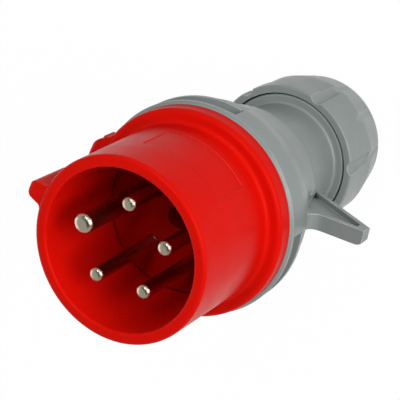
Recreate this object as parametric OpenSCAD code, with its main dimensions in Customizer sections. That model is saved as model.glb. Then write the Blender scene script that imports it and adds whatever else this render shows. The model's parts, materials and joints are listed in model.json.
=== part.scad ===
// Industrial pin and sleeve plug, five pole: a red shroud with five contact pins,
// a grey rear housing with a latch lug, and a screwed cable gland.
// The plug stands on the rear face of its gland nut, with the pins pointing up (+Z).
// Stations are distances back from the front rim, and st() turns one into a height.

/* [Shroud] */
// Overall length from the front rim to the rear face of the gland nut
plug_len = 157.5; // [157:0.1:160]
// Outside radius of the shroud at its front rim
rim_r = 31.5; // [31:0.1:31.8]
// Inside radius of the cup
cup_r = 27.4; // [27:0.1:27.6]
// Depth of the cup, from the rim to the face of the contact carrier
cup_depth = 39.4; // [38:0.2:40]
// Radius of the red flange
flange_r = 37; // [36.6:0.1:37.4]
// Height of the key rib above the shroud's wall
key_rise = 6.2; // [4:0.2:7]
// Length of the key rib along the shroud
key_len = 18.5; // [12:0.5:30]
// Direction of the key rib and of the earth pin, in degrees about the axis
key_angle = -90; // [-180:5:180]

/* [Pins] */
// Radius of the circle that the pins stand on
pin_circle_r = 15.2; // [14.8:0.1:15.6]
// Radius of a phase or neutral pin
pin_r = 2.5; // [2.2:0.05:2.6]
// Radius of the earth pin
earth_r = 3.5; // [3:0.05:3.6]
// Depth of the phase and neutral pin tips behind the rim
tip_depth = 3.2; // [2:0.2:5]
// Depth of the earth pin's tip behind the rim
earth_tip = 0.8; // [0.4:0.2:3]

/* [Housing] */
// Outside radius of the grey rings
ring_r = 38.2; // [37.8:0.1:38.6]
// Radius of the neck
neck_r = 22.2; // [21.8:0.1:22.8]
// Direction of the latch lug from the key, in degrees
lug_turn = 199.6; // [150:0.2:240]
// Reach of the latch lug's tip from the axis
lug_reach = 56.2; // [50:0.2:60]
// Width of the latch lug
lug_w = 5.8; // [5:0.2:8]

/* [Gland] */
// Outside radius of the gland nut at its front band
nut_r = 29.4; // [29.2:0.1:30]
// Radius of the smooth cylinder that stands for the gland thread
thread_r = 25.9; // [25.6:0.1:26]
// Number of finger channels round the nut
grips = 6; // [4:1:8]
// Bore radius of the rubber seal, for the cable
cable_r = 8.8; // [6:0.1:9.5]

/* [Hidden] */
$fn = 96;
fine = 48;
over = 1;
nose_steps = 8;
poles = 5;
pole_step = 360 / poles;
run = 0.08;

red = [0.80, 0.07, 0.05];
dark_red = [0.62, 0.05, 0.04];
grey = [0.54, 0.57, 0.56];
nickel = [0.80, 0.79, 0.75];
ivory = [0.84, 0.82, 0.76];
steel = [0.66, 0.67, 0.69];
black = [0.09, 0.09, 0.10];

// stations of the main faces
flange_front = 41.7;
flange_back = 48.4;
spigot_end = 62.8;
groove_front = 50.3;
groove_back = 56.5;
shoulder_end = 67.6;
cone_end = 87.4;
neck_start = 92.5;
tail_start = 119.8;
tail_end = 137.4;
nut_front = 119.4;
band_end = 127.5;
taper_start = 138.4;

// shroud
wall_draft = 0.5;
spigot_r = 32.8;
spigot_bore = 29.6;
lug_ring_r = 34.1;
gasket_in = 34.5;
gasket_out = 36.1;
gasket_t = 1.2;
bayonets = 3;
bayonet_step = 360 / bayonets;
bayonet_front = 60;
beads = 4;

// contact carrier
carrier_seat = 41.5;
carrier_back = 45.5;
block_end = 61;
block_r = 24.5;
terminal_r = 4.2;
root_step = 0.3;
chamber_w = 9.2;
screw_station = 54.5;
screw_well_r = 4.2;
screw_r = 1.4;
screw_seat = 48;
wire_r = 1.9;
clamp_screw_r = 1.5;

// gland
taper = 0.185;
bush_bore = 21;
seal_front = 124;
seal_back = 135.6;
cage_back = 137.6;
washer_back = 139.9;
nut_shoulder = 140;
entry_r = 13.5;
nut_turn = 207;
grip_step = 360 / grips;

function st(s) = plug_len - s;
// Profile points are given as [radius, station]
function up(pts) = [for (p = pts) [p[0], st(p[1])]];
// Points on an arc about c, in [radius, station], from angle a to angle b
function arc(c, r, a, b, n = 6) =
    [for (i = [0:n]) let (t = a + (b - a) * i / n) [c[0] + r * cos(t), c[1] + r * sin(t)]];

module turned(pts) {
    rotate_extrude() polygon(up(pts));
}

module sector(pts, from, span) {
    rotate([0, 0, from]) rotate_extrude(angle = span) polygon(up(pts));
}

// A rod or hole along the axis between two stations
module rod(r, from, to) {
    translate([0, 0, st(to)]) cylinder(r = r, h = to - from, $fn = fine);
}

module at_pole(i) {
    rotate([0, 0, key_angle + i * pole_step]) translate([pin_circle_r, 0, 0]) children();
}

// Half of the plan of a nose on a round wall: a round tip of radius r, a straight flank
// and a fillet of radius f where it meets the wall
function nose_half(reach, r, flank, root, wall_r, f) =
    let (c = reach - r,
         half = r * cos(flank) + (c + r * sin(flank) - wall_r) * tan(flank),
         fx = half + f,
         fy = sqrt(pow(wall_r + f, 2) - fx * fx),
         meet = 180 + atan2(fy, fx))
    concat(
        [for (i = [1:nose_steps]) let (t = 90 - (90 - flank) * i / nose_steps)
            [r * cos(t), c + r * sin(t)]],
        [for (i = [0:nose_steps]) let (t = 180 + (meet - 180) * i / nose_steps)
            [fx + f * cos(t), fy + f * sin(t)]],
        [[fx - over, root]]);

module nose_plan(reach, r, flank, root, wall_r, f) {
    half = nose_half(reach, r, flank, root, wall_r, f);
    last = len(half) - 1;
    rotate([0, 0, -90]) polygon(concat([[0, reach]], half,
        [for (i = [last:-1:0]) [-half[i][0], half[i][1]]]));
}

// ---------------------------------------------------------------- shroud

module shroud_wall() {
    rim_in = 1;
    rim_out = 1.4;
    root = 1.6;
    edge = 1.8;
    chamfer = 0.5;
    foot_r = rim_r + wall_draft;
    turned(concat(
        [[spigot_bore, carrier_seat], [cup_r, carrier_seat]],
        arc([cup_r + rim_in, rim_in], rim_in, 180, 270),
        arc([rim_r - rim_out, rim_out], rim_out, 270, 360),
        arc([foot_r + root, flange_front - root], root, 180, 90),
        arc([flange_r - edge, flange_front + edge], edge, 270, 360),
        [[flange_r, flange_back], [spigot_r, flange_back], [spigot_r, spigot_end - chamfer],
         [spigot_r - chamfer, spigot_end], [spigot_bore, spigot_end]]));
}

module key_rib() {
    reach = rim_r + key_rise;
    start = 0.7;
    nose = 3.2;
    flank = 8;
    fillet = 1.2;
    root = cup_r + 1.5;
    front_edge = 1.8;
    back_edge = 1.4;
    back = key_len + 0.9;
    intersection() {
        rotate([0, 0, key_angle]) translate([0, 0, st(key_len + over)])
            linear_extrude(height = key_len + over)
            nose_plan(reach, nose, flank, root, rim_r, fillet);
        turned(concat([[cup_r + over, start]],
            arc([reach - front_edge, start + front_edge], front_edge, 270, 360),
            arc([reach - back_edge, key_len - back_edge], back_edge, 0, 60),
            [[rim_r, back], [cup_r + over, back]]));
    }
}

module flange_nose() {
    reach = flange_r + 4.6;
    edge = 1.8;
    face = flange_front + 0.2;
    nose = 8;
    flank = 32;
    fillet = 3;
    inside = spigot_r - over;
    intersection() {
        rotate([0, 0, key_angle]) translate([0, 0, st(flange_back)])
            linear_extrude(height = flange_back - flange_front)
            nose_plan(reach, nose, flank, spigot_r, flange_r - 0.2, fillet);
        turned(concat([[inside, face]],
            arc([reach - edge, face + edge], edge, 270, 360),
            [[reach, flange_back], [inside, flange_back]]));
    }
}

// The bayonet lugs that hold the housing
module bayonet_lugs() {
    turn = 20;
    span = 20;
    sunk = spigot_r - 0.5;
    back = bayonet_front + 2;
    lead = 0.3;
    for (i = [0:bayonets - 1])
        sector([[sunk, bayonet_front], [lug_ring_r, bayonet_front], [lug_ring_r, back],
            [sunk, back + lead]], i * bayonet_step + turn, span);
}

// Beads that the carrier snaps past
module snap_beads() {
    turn = 35;
    span = 20;
    rise = 0.5;
    front = carrier_back + 0.2;
    back = carrier_back + 2;
    for (i = [0:beads - 1])
        sector([[spigot_bore + rise, front], [spigot_bore - rise, front], [spigot_bore + rise, back]],
            i * 360 / beads + turn, span);
}

module front_shroud() {
    panel_top = 16;
    panel_foot = 33;
    panel_floor = [rim_r - 0.05, rim_r + 0.15];
    panel_turn = 238;
    panel_span = 58;
    groove_in = gasket_in - 0.2;
    groove_out = gasket_out + 0.2;
    groove_floor = flange_back - gasket_t - 0.05;
    color(red) difference() {
        union() {
            shroud_wall();
            key_rib();
            flange_nose();
            bayonet_lugs();
            snap_beads();
        }
        // groove for the flange gasket
        turned([[groove_in, groove_floor], [groove_out, groove_floor],
            [groove_out, flange_back + over], [groove_in, flange_back + over]]);
        // shallow bare label panel
        sector([[panel_floor[0], panel_top], [rim_r + over, panel_top],
            [rim_r + over, panel_foot], [panel_floor[1], panel_foot]],
            key_angle + panel_turn, panel_span);
    }
}

module housing_gasket() {
    color(black) turned([[gasket_in, flange_back - gasket_t], [gasket_out, flange_back - gasket_t],
        [gasket_out, flange_back], [gasket_in, flange_back]]);
}

// ---------------------------------------------------------------- contacts

module contact_carrier() {
    face_r = cup_r - 0.2;
    chamfer = 0.6;
    flange = spigot_bore - 0.1;
    play = 0.05;
    screw_play = 0.4;
    chamber_in = terminal_r + 0.3;
    color(dark_red) difference() {
        turned([[0, cup_depth], [face_r - chamfer, cup_depth], [face_r, cup_depth + chamfer],
            [face_r, carrier_seat], [flange, carrier_seat], [flange, carrier_back],
            [block_r, carrier_back], [block_r, block_end], [0, block_end]]);
        rod(screw_well_r, cup_depth - over, screw_seat);
        rod(screw_r + screw_play, screw_seat - over, block_end + over);
        for (i = [0:poles - 1]) at_pole(i) {
            rod((i == 0 ? earth_r : pin_r) + root_step + play, cup_depth - over, carrier_back + over);
            // terminal chamber, open to the side for the screw and to the back for the wire
            translate([-chamber_in, -chamber_w / 2, st(block_end + over)])
                cube([block_r, chamber_w, block_end + over - carrier_back]);
        }
    }
}

module terminal_cover() {
    plate_r = block_r - 0.5;
    plate_back = block_end + 2.4;
    chamfer = 0.5;
    boss_r = 4.2;
    boss_end = block_end + 6;
    screw_play = 0.05;
    wire_play = 1;
    color(black) difference() {
        turned([[0, block_end], [plate_r, block_end], [plate_r, plate_back - chamfer],
            [plate_r - chamfer, plate_back], [boss_r, plate_back], [boss_r, boss_end], [0, boss_end]]);
        rod(screw_r + screw_play, block_end - over, boss_end + over);
        for (i = [0:poles - 1])
            at_pole(i) rod(wire_r + wire_play, block_end - over, plate_back + over);
    }
}

module carrier_screw() {
    head_r = 3.3;
    head_front = screw_seat - 2.2;
    chamfer = 0.5;
    slot_w = 0.9;
    slot_floor = head_front + 1;
    point = block_end + 5;
    color(steel) difference() {
        turned([[0, head_front], [head_r - chamfer, head_front], [head_r, head_front + chamfer],
            [head_r, screw_seat], [screw_r, screw_seat], [screw_r, point - over], [0, point]]);
        translate([-head_r - over, -slot_w / 2, st(slot_floor)])
            cube([2 * head_r + 2 * over, slot_w, slot_floor - head_front + over]);
    }
}

// One turned contact: a round-nosed pin and a terminal body with a wire hole
module contact_pin(i, r, tip) {
    land = r * 0.55;
    nose = r - land;
    back = block_end - 0.1;
    shoulder = carrier_back + 0.05;
    ease = 0.2;
    wire_hole = 3.5;
    root_r = r + root_step;
    body_r = terminal_r + ease;
    color(nickel) at_pole(i) difference() {
        turned(concat([[0, tip]],
            arc([land, tip + nose], nose, 270, 360),
            [[r, cup_depth], [root_r, cup_depth], [root_r, shoulder], [body_r, shoulder],
             [body_r, back - 2 * ease], [body_r - 2 * ease, back], [0, back]]));
        rod(wire_r, shoulder + wire_hole, back + over);
        // tapped hole for the clamping screw, from the outside of the plug
        translate([0, 0, st(screw_station)]) rotate([0, 90, 0])
            cylinder(r = clamp_screw_r + 0.05, h = terminal_r + over, $fn = fine);
    }
}

// Slotted clamping screw, lying on a radius of the plug
module clamp_screw(i) {
    head_r = 2.5;
    head_t = 1.8;
    start = wire_r - 0.6;
    top = terminal_r + 1.6;
    slot_w = 0.7;
    slot_deep = 0.9;
    color(steel) at_pole(i) translate([0, 0, st(screw_station)]) rotate([0, 90, 0]) difference() {
        union() {
            translate([0, 0, start]) cylinder(r = clamp_screw_r, h = top - start, $fn = fine);
            translate([0, 0, top]) cylinder(r = head_r, h = head_t, $fn = fine);
        }
        translate([-head_r - over, -slot_w / 2, top + head_t - slot_deep])
            cube([2 * head_r + 2 * over, slot_w, slot_deep + over]);
    }
}

// ---------------------------------------------------------------- housing

// The turned body of the housing, with the ring track that holds the bayonet lugs
module housing_body(track_r) {
    bore = spigot_r + 0.2;
    track_front = bayonet_front - 0.3;
    track_back = spigot_end + 0.2;
    edge = 0.9;
    groove_r = ring_r - 2.5;
    groove_draft = 0.5;
    rear_ring_back = groove_back + 1.8;
    shoulder_r = 35.2;
    cone_r = 28.9;
    crisp = 0.35;
    neck_root = 2;
    tail_root = 1;
    tail_edge = 0.5;
    hollow = [31.8, 30.6, 25.4, neck_r - 3, 11.5];
    turned(concat(
        // front ring, groove and rear ring
        [[bore, flange_back], [ring_r - edge, flange_back], [ring_r, flange_back + edge],
         [ring_r, groove_front], [groove_r, groove_front + groove_draft],
         [groove_r, groove_back - groove_draft], [ring_r, groove_back],
         [ring_r, rear_ring_back - 0.6], [ring_r - 0.4, rear_ring_back - 0.2],
         [ring_r - 1.8, rear_ring_back]],
        // shoulder, its crisp edge and the step behind it
        [[shoulder_r + 0.4, shoulder_end - 1.4]],
        arc([shoulder_r - crisp, shoulder_end - crisp], crisp, 0, 70, 3),
        [[shoulder_r - 1.5, shoulder_end + 0.2], [shoulder_r - 2.1, shoulder_end + 1.1]],
        // cone towards the neck, and the edge at its end
        arc([cone_r - crisp, cone_end - crisp], crisp, 10, 70, 3),
        [[cone_r - 2.4, cone_end + 0.8], [cone_r - 3.4, cone_end + 2.2]],
        arc([neck_r + neck_root, neck_start + neck_root - 0.5], neck_root, 215, 180, 3),
        arc([neck_r + tail_root, tail_start - tail_root], tail_root, 180, 90, 3),
        // step up to the threaded tail
        [[thread_r - tail_edge, tail_start], [thread_r, tail_start + tail_edge],
         [thread_r, tail_end - tail_edge], [thread_r - tail_edge, tail_end], [bush_bore, tail_end]],
        // seat of the seal, the hollow inside and the ring track of the bayonet
        [[bush_bore, seal_front], [hollow[4], seal_front], [hollow[4], seal_front - 2.5],
         [hollow[3], seal_front - 5.5], [hollow[3], neck_start + 1], [hollow[2], cone_end - 1],
         [hollow[1], shoulder_end + 1], [hollow[0], spigot_end + 1.5], [hollow[0], track_back],
         [track_r, track_back], [track_r, track_front], [bore, track_front]]));
}

// Smooth block that bridges the groove and runs down to the shoulder
module bridge_block(from, span) {
    bend = groove_back + 0.9;
    foot = shoulder_end - 1.4;
    drop = 2.3;
    bow = 1.3;
    steps = 5;
    sunk = 34.9;
    sector(concat([[sunk, flange_back + 1.2], [ring_r, flange_back + 1.2], [ring_r, bend]],
        [for (i = [1:steps]) let (u = i / steps)
            [ring_r - drop * pow(u, bow), bend + (foot - bend) * u]],
        [[sunk - 0.3, foot + 0.7], [sunk, foot - 2]]), from, span);
}

// Latch lug: a triangular gusset with a web between a sunk pocket on each side. It leans
// a little off the radius, about its tip
module latch_lug() {
    lean = 4.5;
    wall = 1.9;
    back_wall = 1.6;
    web = 1.8;
    front = shoulder_end - 1.2;
    tip_back = front + 4.2;
    back = cone_end - 0.6;
    root_r = 28.4;
    sunk = [33, 34.6, 27.3];
    pocket_in = 30;
    pocket_out = lug_reach - 3.2;
    slope = (back - tip_back) / (lug_reach - root_r);
    corner = 3.4;
    sweep = 4.5;
    sweep_r = 36.4;
    half = lug_w / 2;
    function back_at(r) = tip_back + (lug_reach - r) * slope;
    translate([lug_reach, 0, 0]) rotate([0, 0, -lean]) translate([-lug_reach, 0, 0]) intersection() {
        difference() {
            translate([0, half, 0]) rotate([90, 0, 0]) linear_extrude(height = lug_w)
                polygon(up(concat([[sunk[0], front], [sunk[1], front], [sunk[1], front - sweep],
                    [sweep_r, front - sweep]],
                    arc([sweep_r + sweep, front - sweep], sweep, 180, 90),
                    [[lug_reach, front], [lug_reach + 0.5, tip_back], [root_r, back], [sunk[2], back]])));
            for (side = [-1, 1])
                translate([0, side * (lug_w + web) / 2 + half, 0]) rotate([90, 0, 0])
                    linear_extrude(height = lug_w)
                    polygon(up([[pocket_in, front + wall], [pocket_out, front + wall],
                        [pocket_out, back_at(pocket_out) - back_wall],
                        [pocket_in, back_at(pocket_in) - back_wall]]));
        }
        // the lower corner of the tip is rounded
        translate([0, 0, st(cone_end + over)])
            linear_extrude(height = cone_end - front + sweep + 2 * over)
            union() {
                translate([0, -half]) square([lug_reach + over - corner, lug_w]);
                translate([0, -half + corner]) square([lug_reach + over, lug_w - corner]);
                translate([lug_reach + over - corner, -half + corner])
                    circle(r = corner, $fn = fine);
            }
    }
}

module rear_housing() {
    lug_angle = key_angle + lug_turn;
    block_span = 72.5;
    track_r = lug_ring_r + 0.2;
    way_r = track_r - 0.05;
    way_turn = 58;
    way_span = 24;
    color(grey) difference() {
        union() {
            housing_body(track_r);
            bridge_block(lug_angle + 0.6, block_span);
            rotate([0, 0, lug_angle]) latch_lug();
        }
        // ways into the bayonet track from the front
        for (i = [0:bayonets - 1])
            sector([[spigot_r - over, flange_back - over], [way_r, flange_back - over],
                [way_r, bayonet_front], [spigot_r - over, bayonet_front]],
                i * bayonet_step + way_turn, way_span);
    }
}

// ---------------------------------------------------------------- gland

module gland_seal() {
    chamfer = 1.2;
    front = seal_front + 0.05;
    outer = bush_bore - 0.2;
    color(black) turned([[cable_r, front + chamfer], [cable_r + chamfer, front], [outer, front],
        [outer, seal_back], [cable_r + chamfer, seal_back], [cable_r, seal_back - chamfer]]);
}

// Clamping ring with fingers that the nut's cone closes on the cable
module clamping_cage() {
    fingers = 10;
    slot_w = 1.6;
    slot_deep = 4.6;
    inner = 12.2;
    tip_in = inner - 0.6;
    tip_out = 12.9;
    outer = bush_bore - 0.2;
    finger_out = 14.6;
    bend = 141.5;
    tip = 146;
    flange_front = seal_back + 0.05;
    web = 1.2;
    color(grey) difference() {
        turned([[inner, flange_front], [outer, flange_front], [outer, cage_back],
            [finger_out + 0.4, cage_back], [finger_out, cage_back + 0.4], [finger_out, bend],
            [tip_out, tip], [tip_in, tip], [inner, bend + 1.5]]);
        for (i = [0:fingers - 1])
            rotate([0, 0, i * 360 / fingers]) translate([inner - 2, -slot_w / 2, st(tip + over)])
                cube([slot_deep, slot_w, tip + over - cage_back - web]);
    }
}

module slip_washer() {
    inner = 16.2;
    outer = 25.2;
    front = cage_back + 0.1;
    color(ivory) turned([[inner, front], [outer, front], [outer, washer_back], [inner, washer_back]]);
}

// A round groove down the taper of the nut, which runs out on the pad in front. Its depth
// is given near the pad and near the rear rim
module taper_groove(r, deep, deep_back) {
    start = plug_len + over;
    drop = taper - (deep - deep_back) / (start - taper_start);
    tilt = atan(drop);
    surface = nut_r - (start - taper_start) * taper - deep_back;
    translate([surface + r * cos(tilt), 0, st(start) - r * sin(tilt)]) rotate([0, tilt, 0])
        cylinder(r = r, h = start - band_end, $fn = fine);
}

module gland_nut() {
    bore = thread_r + run;
    lip = thread_r + 0.6;
    lip_back = nut_front + 2.6;
    front_edge = 0.8;
    back_edge = 2.4;
    back_r = 23.7;
    back_slope = 10;
    mouth = 5.5;
    entry_start = plug_len - 7.5;
    cone_in = 17;
    lobe_off = 4.5;
    lobe_r = nut_r - lobe_off - 0.04;
    scoop_r = 3.1;
    scoop_floor = 27.8;
    scoop_end = 138.5;
    scoop_out = 2.4;
    scoop_lift = 1.3;
    groove_turn = grip_step / 2 + 1.8;
    color(grey) difference() {
        turned(concat(
            [[bore, lip_back], [lip, lip_back], [lip, nut_front]],
            arc([nut_r - front_edge, nut_front + front_edge], front_edge, 270, 360, 4),
            [[nut_r, taper_start]],
            arc([back_r, plug_len - back_edge], back_edge, back_slope, 90),
            arc([entry_r + mouth, plug_len - mouth], mouth, 90, 180, 8),
            [[entry_r, entry_start], [cone_in, nut_shoulder], [bore, nut_shoulder]]));
        // the pads behind the front band fall away towards the channels
        difference() {
            turned([[lobe_r, band_end], [nut_r + over, band_end], [nut_r + over, plug_len - back_edge],
                [lobe_r, plug_len - back_edge]]);
            for (i = [0:grips - 1])
                rotate([0, 0, key_angle + nut_turn + (i + 0.5) * grip_step])
                    translate([lobe_off, 0, st(plug_len)])
                    cylinder(r = lobe_r, h = plug_len - band_end + over);
        }
        for (i = [0:grips - 1]) rotate([0, 0, key_angle + nut_turn + i * grip_step]) {
            // finger channel, open at the front
            translate([scoop_floor + scoop_r, 0, 0]) {
                rod(scoop_r, nut_front - over, scoop_end);
                translate([0, 0, st(scoop_end + scoop_out)])
                    cylinder(r1 = scoop_r - scoop_lift, r2 = scoop_r, h = scoop_out + 0.01, $fn = fine);
            }
            taper_groove(2.2, 1, 0.25);
            rotate([0, 0, groove_turn]) taper_groove(2, 0.7, 0.4);
        }
    }
}

front_shroud();
contact_carrier();
terminal_cover();
carrier_screw();
contact_pin(0, earth_r, earth_tip);  // earth_pin
contact_pin(1, pin_r, tip_depth);  // neutral_pin
contact_pin(2, pin_r, tip_depth);  // line1_pin
contact_pin(3, pin_r, tip_depth);  // line2_pin
contact_pin(4, pin_r, tip_depth);  // line3_pin
clamp_screw(0);  // earth_screw
clamp_screw(1);  // neutral_screw
clamp_screw(2);  // line1_screw
clamp_screw(3);  // line2_screw
clamp_screw(4);  // line3_screw
housing_gasket();
rear_housing();
gland_seal();
clamping_cage();
slip_washer();
gland_nut();
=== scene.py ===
import json
import math
import bpy
from mathutils import Matrix, Vector

# Industrial pin and sleeve plug. The solids of the frame carry every shape, so this script adds
# only materials, a floor, the studio's light and the camera of the photograph.

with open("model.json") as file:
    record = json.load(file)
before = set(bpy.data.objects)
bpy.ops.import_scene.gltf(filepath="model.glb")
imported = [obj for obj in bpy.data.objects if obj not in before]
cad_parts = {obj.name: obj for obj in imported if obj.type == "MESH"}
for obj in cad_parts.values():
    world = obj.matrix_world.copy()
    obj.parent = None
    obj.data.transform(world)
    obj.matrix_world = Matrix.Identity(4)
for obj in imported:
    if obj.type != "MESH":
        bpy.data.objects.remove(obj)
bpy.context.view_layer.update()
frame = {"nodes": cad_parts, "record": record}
nodes = frame["nodes"]
record = frame["record"]
scene = bpy.context.scene
scene.view_settings.view_transform = "Standard"

# ------------------------------------------------------------ camera, in the row frame
CAM_AT = Vector((-0.22557, 0.12699, 0.49461))
CAM_BACK = Vector((-0.47773, 0.27272, 0.83510)).normalized()
CAM_RIGHT = Vector((-0.39138, 0.78498, -0.48024))
CAM_RIGHT = (CAM_RIGHT - CAM_BACK * CAM_RIGHT.dot(CAM_BACK)).normalized()
CAM_UP = CAM_BACK.cross(CAM_RIGHT)
SENSOR_MM, LENS_MM = 36, 121.5

camera = bpy.data.objects.new("camera", bpy.data.cameras.new("camera"))
scene.collection.objects.link(camera)
camera.matrix_world = (Matrix.Translation(CAM_AT)
                       @ Matrix((CAM_RIGHT, CAM_UP, CAM_BACK)).transposed().to_4x4())
camera.data.sensor_width = SENSOR_MM
camera.data.lens = LENS_MM
camera.data.clip_start = 0.01
camera.data.clip_end = 20
scene.camera = camera

# ------------------------------------------------------------ shader helpers
WHITE = (1, 1, 1, 1)


def grey(value):
    return (value, value, value, 1)


def lin(r, g, b):
    """An sRGB colour of 0 to 255 as linear values."""
    def one(c):
        c /= 255
        return c / 12.92 if c <= 0.04045 else ((c + 0.055) / 1.055) ** 2.4
    return (one(r), one(g), one(b), 1)


def scaled(colour, k, plus=0.0):
    return tuple(min(1, c * k + plus) for c in colour[:3]) + (1,)


def feed(t, socket, value):
    """A plain value or a link from another node, whichever is given."""
    if isinstance(value, (int, float, tuple)):
        socket.default_value = value
    else:
        t.links.new(value, socket)


def new_material(name):
    m = bpy.data.materials.new(name)
    m.use_nodes = True
    t = m.node_tree
    bsdf = next(n for n in t.nodes if n.type == "BSDF_PRINCIPLED")
    return m, t, bsdf


def math_node(t, op, a, b):
    n = t.nodes.new("ShaderNodeMath")
    n.operation = op
    n.use_clamp = True
    feed(t, n.inputs[0], a)
    feed(t, n.inputs[1], b)
    return n.outputs[0]


def dot_node(t, a, b):
    n = t.nodes.new("ShaderNodeVectorMath")
    n.operation = "DOT_PRODUCT"
    feed(t, n.inputs[0], a)
    feed(t, n.inputs[1], b)
    return n.outputs["Value"]


def noise(t, scale, detail=3.0, rough=0.5):
    coords = t.nodes.new("ShaderNodeTexCoord")
    n = t.nodes.new("ShaderNodeTexNoise")
    n.inputs["Scale"].default_value = scale
    n.inputs["Detail"].default_value = detail
    n.inputs["Roughness"].default_value = rough
    t.links.new(coords.outputs["Object"], n.inputs["Vector"])
    return n.outputs["Fac"]


def ramp(t, value, from_low, from_high, to_low, to_high):
    n = t.nodes.new("ShaderNodeMapRange")
    n.inputs["From Min"].default_value = from_low
    n.inputs["From Max"].default_value = from_high
    n.inputs["To Min"].default_value = to_low
    n.inputs["To Max"].default_value = to_high
    t.links.new(value, n.inputs["Value"])
    return n.outputs["Result"]


def mix(t, share, a, b):
    n = t.nodes.new("ShaderNodeMix")
    n.data_type = "RGBA"
    factor, colour_a, colour_b = n.inputs[0], n.inputs[6], n.inputs[7]
    for socket, value in ((factor, share), (colour_a, a), (colour_b, b)):
        feed(t, socket, value)
    return n.outputs[2]


# ------------------------------------------------------------ materials
# Sizes are in metres, and noise scales in waves a metre.
EDGE_WEAR_HIGHLIGHT_GAIN = 4.0          # how soon a turned normal counts as an edge made paler, as wear and as painted highlight
EDGE_WEAR_HIGHLIGHT_SCALE = 260
MOTTLE_SCALE = 38
SHEEN_SCALE = 120
BUMP_HEIGHT = 0.0003
GAP_SHADE_REACH = 0.0025      # how far the painted gap shade looks for the wall opposite
# occlusion levels between which a gap goes from full painted shade to none
GAP_SHADE_FULL, GAP_SHADE_NONE = 0.22, 0.50
SAMPLES_EDGE, SAMPLES_GAP_SHADE = 6, 8


def surface(name, base, rough, metal=0.0, spec=0.5, tint=WHITE, grain=1800, depth=0.02,
            vary=0.06, edge_r=0.0004, wear_highlight_share=0.25, edge_wear_highlight_colour=None, rough_vary=0.06, painted_gap_shade=0.2):
    """A moulded or turned surface.

    It has soft edges of radius edge_r, made paler by the share edge as wear and as painted
    highlight, slight mottling by the share vary, a fine grain of the given depth, and painted
    shade in gaps, down to the share crevice of the base colour.
    """
    m, t, bsdf = new_material(name)
    bevel = t.nodes.new("ShaderNodeBevel")
    bevel.samples = SAMPLES_EDGE
    bevel.inputs["Radius"].default_value = edge_r
    soft_normal = bevel.outputs["Normal"]

    geo = t.nodes.new("ShaderNodeNewGeometry")
    turned = math_node(t, "SUBTRACT", 1.0, dot_node(t, soft_normal, geo.outputs["Normal"]))
    # Edges are made paler, partly as wear and partly as a painted highlight along them.
    wear_and_highlight = math_node(t, "MULTIPLY", turned, EDGE_WEAR_HIGHLIGHT_GAIN)
    wear_and_highlight = math_node(t, "MULTIPLY", wear_and_highlight, ramp(t, noise(t, EDGE_WEAR_HIGHLIGHT_SCALE, 4), 0.35, 0.65, 0.6, 1.0))
    wear_and_highlight = math_node(t, "MULTIPLY", wear_and_highlight, wear_highlight_share)

    mottle = ramp(t, noise(t, MOTTLE_SCALE, 4, 0.6), 0.3, 0.7, 0.0, 1.0)
    mottled = mix(t, mottle, scaled(base, 1 - vary), base)
    worn_and_highlit = mix(t, wear_and_highlight, mottled, edge_wear_highlight_colour or scaled(base, 1.25, 0.06))

    # Painted shade: the base colour is darkened in gaps and creases, where shade falls.
    gap_shade_ao = t.nodes.new("ShaderNodeAmbientOcclusion")
    gap_shade_ao.samples = SAMPLES_GAP_SHADE
    gap_shade_ao.inputs["Distance"].default_value = GAP_SHADE_REACH
    unshaded = ramp(t, gap_shade_ao.outputs["AO"], GAP_SHADE_FULL, GAP_SHADE_NONE, 0.0, 1.0)
    t.links.new(mix(t, unshaded, scaled(base, painted_gap_shade), worn_and_highlit), bsdf.inputs["Base Color"])

    sheen = ramp(t, noise(t, SHEEN_SCALE, 5), 0.3, 0.7, rough - rough_vary, rough + rough_vary)
    t.links.new(sheen, bsdf.inputs["Roughness"])

    bump = t.nodes.new("ShaderNodeBump")
    bump.inputs["Strength"].default_value = depth
    bump.inputs["Distance"].default_value = BUMP_HEIGHT
    t.links.new(noise(t, grain, 3, 0.6), bump.inputs["Height"])
    t.links.new(soft_normal, bump.inputs["Normal"])
    t.links.new(bump.outputs["Normal"], bsdf.inputs["Normal"])

    bsdf.inputs["Metallic"].default_value = metal
    bsdf.inputs["Specular IOR Level"].default_value = spec
    bsdf.inputs["Specular Tint"].default_value = tint
    return m


# The housing and the nut share one grey moulding, in slightly different shades.
# Edges of the housing and the nut are made fully pale, as wear and as painted highlight.
HOUSING = dict(rough=0.36, spec=0.5, depth=0.10, edge_r=0.00045, wear_highlight_share=1.0,
               edge_wear_highlight_colour=lin(220, 224, 222), painted_gap_shade=0.04)
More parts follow.
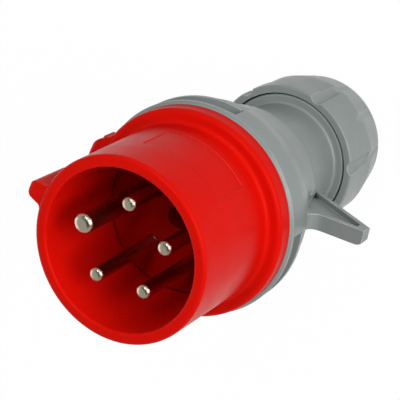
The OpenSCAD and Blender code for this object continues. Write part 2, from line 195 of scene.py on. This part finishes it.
# The crevice share in each look, and in HOUSING, sets how dark the painted shade in its gaps is.
LOOKS = {
    "red_plastic": surface("red_nylon", lin(210, 14, 6), 0.32, spec=0.05, tint=(1, 0.7, 0.45, 1),
                           depth=0.04, vary=0.05, edge_r=0.0005, wear_highlight_share=0.5,
                           edge_wear_highlight_colour=lin(240, 75, 60), painted_gap_shade=0.6),
    "carrier_plastic": surface("carrier_nylon", lin(165, 8, 4), 0.40, spec=0.05, depth=0.04,
                               painted_gap_shade=0.7),
    "grey_plastic": surface("grey_nylon", lin(127, 134, 132), **HOUSING),
    "nut_plastic": surface("nut_nylon", lin(128, 135, 133), **HOUSING),
    "cage_plastic": surface("cage_nylon", lin(132, 138, 136), 0.50, depth=0.08),
    "black_plastic": surface("cover_nylon", lin(34, 34, 36), 0.50, depth=0.08),
    "ivory_plastic": surface("washer_acetal", lin(222, 218, 205), 0.35, depth=0.03),
    "black_rubber": surface("seal_rubber", lin(30, 30, 31), 0.62, spec=0.3, depth=0.15),
    "nickel": surface("nickel_plate", lin(206, 195, 174), 0.16, metal=1.0, grain=3000,
                      depth=0.015, vary=0.08, edge_r=0.0016, wear_highlight_share=0.15, edge_wear_highlight_colour=lin(225, 205, 165)),
    "zinc_steel": surface("zinc_steel", lin(185, 187, 192), 0.34, metal=1.0, grain=2600,
                          depth=0.03, vary=0.10),
}
for part in record["subparts"]:
    mesh = nodes[part["node"]].data
    mesh.materials.clear()
    mesh.materials.append(LOOKS[part["material_slot"]])

# ------------------------------------------------------------ floor
# The nut comes down by its travel when it is loosened, and the floor lies just under it then.
FLOOR_SIZE = 6
FLOOR_WHITE = 0.98      # share of the floor's own white where it is seen; the rest takes shadow
FLOOR_BOUNCE = 0.22     # how much light it throws back on the plug
travel = next(j["range_m"][1] for j in record["behaviour"]["joints"] if j["name"] == "nut_travel")

bpy.ops.mesh.primitive_plane_add(size=FLOOR_SIZE, location=(0, 0, -travel))
floor = bpy.context.object
floor.name = "floor"
m, t, bsdf = new_material("floor_white")
bsdf.inputs["Roughness"].default_value = 0.9
bsdf.inputs["Specular IOR Level"].default_value = 0.1
glow = t.nodes.new("ShaderNodeEmission")
glow.inputs["Strength"].default_value = 1.0
path = t.nodes.new("ShaderNodeLightPath")
mirrored = math_node(t, "MAXIMUM", path.outputs["Is Glossy Ray"],
                     path.outputs["Is Transmission Ray"])
seen = math_node(t, "MAXIMUM", path.outputs["Is Camera Ray"], mirrored)
t.links.new(mix(t, seen, grey(FLOOR_BOUNCE), WHITE), bsdf.inputs["Base Color"])
blend = t.nodes.new("ShaderNodeMixShader")
t.links.new(math_node(t, "MULTIPLY", seen, FLOOR_WHITE), blend.inputs[0])
t.links.new(bsdf.outputs[0], blend.inputs[1])
t.links.new(glow.outputs[0], blend.inputs[2])
out = next(n for n in t.nodes if n.type == "OUTPUT_MATERIAL")
t.links.new(blend.outputs[0], out.inputs["Surface"])
floor.data.materials.append(m)

# ------------------------------------------------------------ world
# A white horizon under a dimmer sky, with a dark part of the studio above the plug.
HORIZON, SKY = 1.0, 0.46
HORIZON_ENDS, SKY_STARTS = 0.14, 0.24       # as heights of the direction's Z
DARK_TOWARDS = (-0.268, 0.155, 0.951)
DARK_STARTS, DARK_FULL = 0.69, 0.74         # as cosines of the angle to that direction
DARK = 0.06

world = bpy.data.worlds.new("world")
scene.world = world
world.use_nodes = True
t = world.node_tree
back = next(n for n in t.nodes if n.type == "BACKGROUND")
direction = t.nodes.new("ShaderNodeTexCoord").outputs["Generated"]
split = t.nodes.new("ShaderNodeSeparateXYZ")
t.links.new(direction, split.inputs[0])
sky = ramp(t, split.outputs["Z"], HORIZON_ENDS, SKY_STARTS, HORIZON, SKY)
dark = ramp(t, dot_node(t, direction, DARK_TOWARDS), DARK_STARTS, DARK_FULL, 1.0, DARK)
t.links.new(math_node(t, "MULTIPLY", sky, dark), back.inputs["Strength"])
back.inputs["Color"].default_value = WHITE

# ------------------------------------------------------------ lamps
LAMP_AIM = Vector((0, 0, 0.084))
LAMP_DISTANCE = 0.9


def softbox(name, azimuth, height, size, power):
    """A square area lamp that faces the plug; azimuth and height are in degrees."""
    a, e = math.radians(azimuth), math.radians(height)
    away = Vector((math.cos(e) * math.cos(a), math.cos(e) * math.sin(a), math.sin(e)))
    lamp = bpy.data.objects.new(name, bpy.data.lights.new(name, "AREA"))
    lamp.data.shape = "SQUARE"
    lamp.data.size = size
    lamp.data.energy = power
    scene.collection.objects.link(lamp)
    lamp.matrix_world = (Matrix.Translation(LAMP_AIM + away * LAMP_DISTANCE)
                         @ away.to_track_quat("Z", "Y").to_matrix().to_4x4())


softbox("key", 129, 31, 0.6, 6.5)
softbox("high", 188, 56, 0.3, 2.2)
softbox("fill", 312, 22, 0.6, 1.6)
